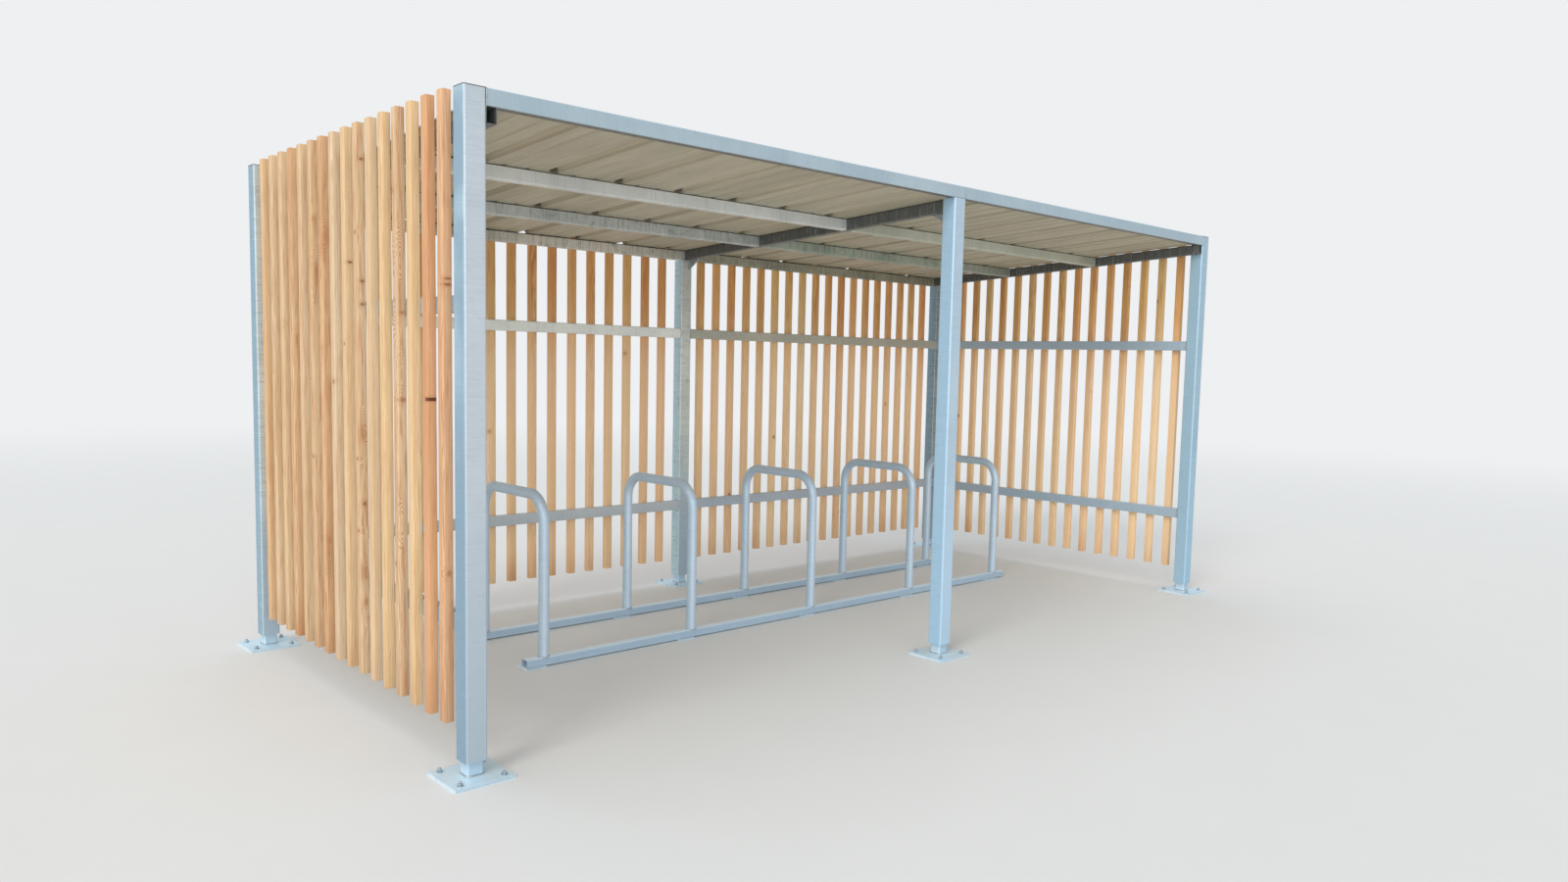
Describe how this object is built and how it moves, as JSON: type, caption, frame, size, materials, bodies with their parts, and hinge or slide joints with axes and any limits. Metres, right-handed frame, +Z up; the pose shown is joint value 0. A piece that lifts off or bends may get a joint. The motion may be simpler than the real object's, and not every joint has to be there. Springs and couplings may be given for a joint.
{
  "type": "cycle shelter",
  "caption": "Open-fronted cycle shelter: galvanised steel frame, upright timber slat walls on three sides, low mono-pitch sheet roof and a floor rack of bent-tube hoops.",
  "frame": {"origin": "centre of the base outline, at ground level", "axes": "+X along the length, to the right seen from the open front; the open front faces -Y; +Z up"},
  "size_m": [5.22, 2.42, 2.34],
  "materials": {
    "galvanised_frame": "satin galvanised",
    "galvanised_roof_frame": "weathered mottled galvanised",
    "galvanised_rack": "satin galvanised",
    "roof_sheet": "matt coated",
    "larch": "sawn and planed, unpainted",
    "cap_plastic": "black moulded plastic"
  },
  "bodies": {
    "root": {"back_beam_left": "galvanised_roof_frame", "back_beam_right": "galvanised_roof_frame", "back_rails_left": "galvanised_frame", "back_rails_right": "galvanised_frame", "foot_back_left": "galvanised_frame", "foot_back_middle": "galvanised_frame", "foot_back_right": "galvanised_frame", "foot_front_left": "galvanised_frame", "foot_front_middle": "galvanised_frame", "foot_front_right": "galvanised_frame", "front_beam_left": "galvanised_frame", "front_beam_right": "galvanised_frame", "hoop_1": "galvanised_rack", "hoop_2": "galvanised_rack", "hoop_3": "galvanised_rack", "hoop_4": "galvanised_rack", "hoop_5": "galvanised_rack", "post_back_left": "galvanised_frame", "post_back_middle": "galvanised_frame", "post_back_right": "galvanised_frame", "post_caps": "cap_plastic", "post_front_left": "galvanised_frame", "post_front_middle": "galvanised_frame", "post_front_right": "galvanised_frame", "purlin_back_left": "galvanised_roof_frame", "purlin_back_right": "galvanised_roof_frame", "purlin_front_left": "galvanised_roof_frame", "purlin_front_right": "galvanised_roof_frame", "rack_rail_back": "galvanised_rack", "rack_rail_front": "galvanised_rack", "rafter_haunches": "galvanised_roof_frame", "rafter_left": "galvanised_roof_frame", "rafter_middle": "galvanised_roof_frame", "rafter_right": "galvanised_roof_frame", "roof_sheet_1": "roof_sheet", "roof_sheet_2": "roof_sheet", "roof_sheet_3": "roof_sheet", "roof_sheet_4": "roof_sheet", "roof_sheet_5": "roof_sheet", "side_rails_left": "galvanised_frame", "side_rails_right": "galvanised_frame", "slats_back_left": "larch", "slats_back_right": "larch", "slats_left": "larch", "slats_right": "larch"}
  },
  "joints": []
}
